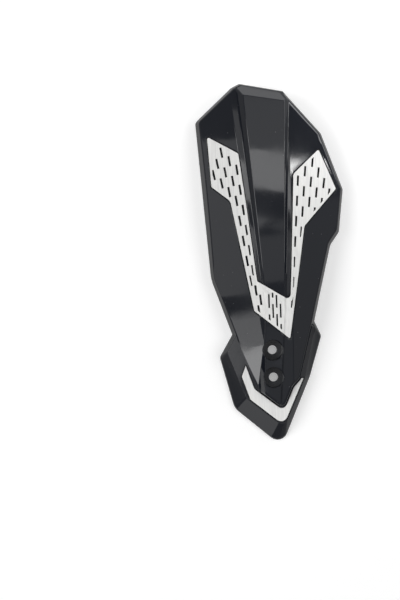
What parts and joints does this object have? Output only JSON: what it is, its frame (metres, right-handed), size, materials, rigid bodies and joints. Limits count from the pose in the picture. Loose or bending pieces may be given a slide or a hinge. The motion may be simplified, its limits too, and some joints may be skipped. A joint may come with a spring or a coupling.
{
  "type": "motorcycle hand guard",
  "caption": "Arched motorcycle hand guard shell with a raised centre panel, a slotted forked vent insert, a chevron insert and a two-bolt mount.",
  "frame": {"origin": "midway between the two bolt holes, on the plane where the backs of their bosses meet the bracket", "axes": "+Y along the bolt line to the wide end, +X to the right seen from outside, +Z out of the outer face"},
  "size_m": [0.1069, 0.2623, 0.0443],
  "materials": {
    "black_moulding": "gloss",
    "white_moulding": "satin"
  },
  "bodies": {
    "root": {"shell": "black_moulding", "vent_insert": "white_moulding", "chevron_insert": "white_moulding"}
  },
  "joints": []
}
